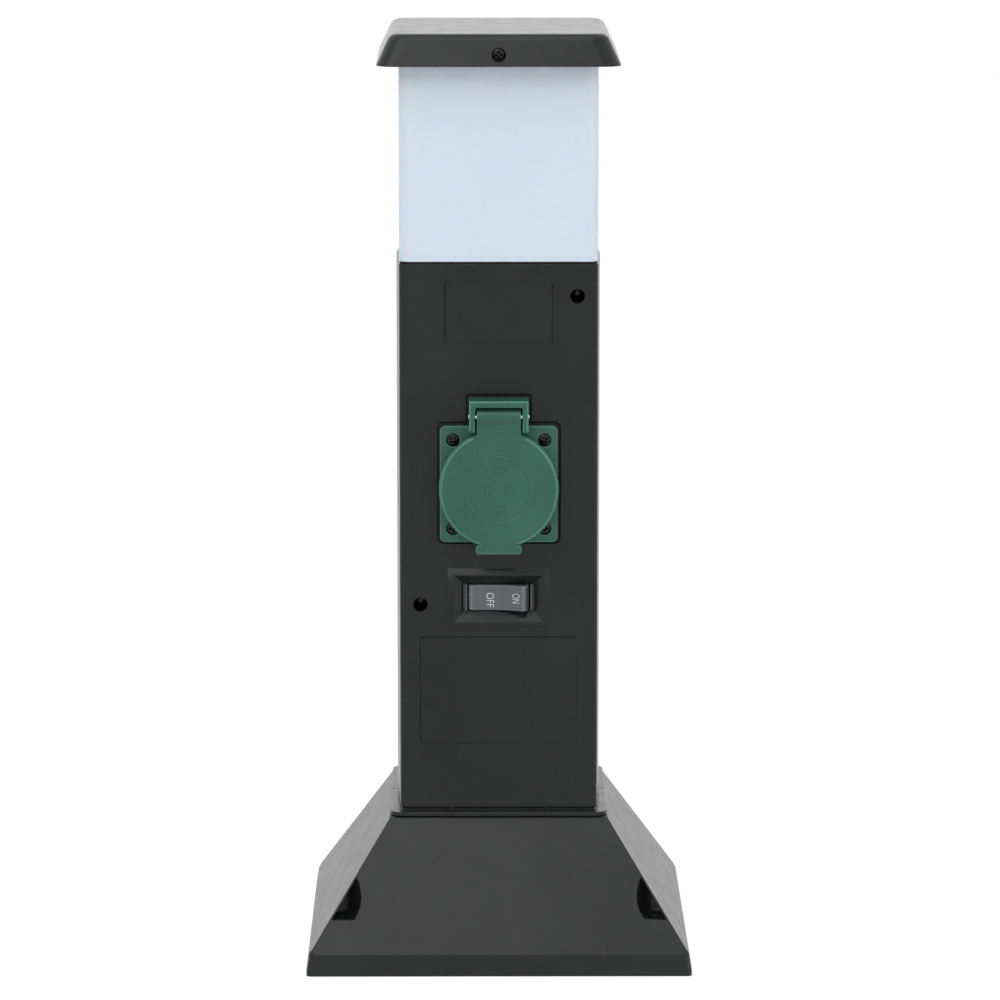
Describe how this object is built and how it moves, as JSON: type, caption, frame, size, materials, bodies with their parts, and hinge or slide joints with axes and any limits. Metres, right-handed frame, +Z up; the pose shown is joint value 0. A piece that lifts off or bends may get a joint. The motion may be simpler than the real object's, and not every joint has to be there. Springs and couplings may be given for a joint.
{
  "type": "garden power post",
  "caption": "Garden power post: hollow base, two-shell pillar with a sprung lid over a socket, a rocker switch, and an opal lamp head under a hipped roof.",
  "frame": {"origin": "on the ground at the middle of the square base", "axes": "+Z up the pillar, -Y towards the side with the socket and the switch, +X to the right of someone who faces them"},
  "size_m": [0.165, 0.165, 0.3976],
  "materials": {
    "black_plastic": "fine moulded texture, satin",
    "dark_plastic": "smooth moulding",
    "green_plastic": "smooth, half gloss",
    "grey_plastic": "smooth, half gloss",
    "cream_plastic": "smooth moulding",
    "opal_plastic": "translucent opal, satin",
    "opal_glass": "opal coating",
    "black_rubber": "soft",
    "grey_rubber": "soft",
    "black_steel": "blackened screw",
    "steel": "zinc plated",
    "aluminium": "rolled thread",
    "brass": "stamped and turned",
    "brown_cover": "wire cover",
    "blue_cover": "wire cover",
    "green_yellow_cover": "wire cover"
  },
  "bodies": {
    "post": {"base": "black_plastic", "front_shell": "black_plastic", "rear_shell": "black_plastic", "shell_screws": "black_steel", "foot_screws": "steel", "socket_body": "green_plastic", "socket_gasket": "black_rubber", "plate_screws": "black_steel", "contact_carrier": "cream_plastic", "contact_sleeves": "brass", "earth_strap": "steel", "contact_screws": "steel", "hinge_pin": "steel", "lid_spring": "steel", "switch_housing": "dark_plastic", "switch_terminals": "brass", "terminal_block": "cream_plastic", "terminal_barrels": "brass", "terminal_screws": "steel", "block_screws": "steel", "lamp_deck": "cream_plastic", "deck_screws": "steel", "lamp_holder": "cream_plastic", "holder_nut": "cream_plastic", "lamp_sleeve": "brass", "lamp_contact": "brass", "bulb_cap": "aluminium", "bulb_globe": "opal_glass", "diffuser": "opal_plastic", "diffuser_gasket": "black_rubber", "roof_cap": "black_plastic", "roof_gasket": "black_rubber", "roof_screws": "black_steel", "gland_body": "dark_plastic", "gland_locknut": "dark_plastic", "gland_seal": "grey_rubber", "gland_nut": "dark_plastic", "live_wires": "brown_cover", "neutral_wires": "blue_cover", "earth_wire": "green_yellow_cover"},
    "lid": {"lid": "green_plastic", "lid_seal": "black_rubber"},
    "rocker": {"rocker": "grey_plastic", "switch_plunger": "cream_plastic"},
    "seesaw": {"switch_seesaw": "brass"}
  },
  "joints": [
    {"name": "lid_hinge", "type": "hinge", "parent": "post", "child": "lid", "pos_m": [0, -0.0506, 0.2359], "axis": [-1, 0, 0], "range_deg": [0, 110], "stiffness_Nm_per_rad": 0.012, "springref_deg": -68.75, "deforming": ["lid_spring"]},
    {"name": "rocker_pivot", "type": "hinge", "parent": "post", "child": "rocker", "pos_m": [0, -0.0387, 0.1563], "axis": [0, 0, 1], "range_deg": [0, 16]},
    {"name": "seesaw_pivot", "type": "hinge", "parent": "post", "child": "seesaw", "pos_m": [0, -0.0297, 0.1563], "axis": [0, 0, 1], "range_deg": [-12.1, 0.1]}
  ],
  "couplings": [
    {"joint": "seesaw_pivot", "follows": "rocker_pivot", "ratio": -0.75}
  ]
}
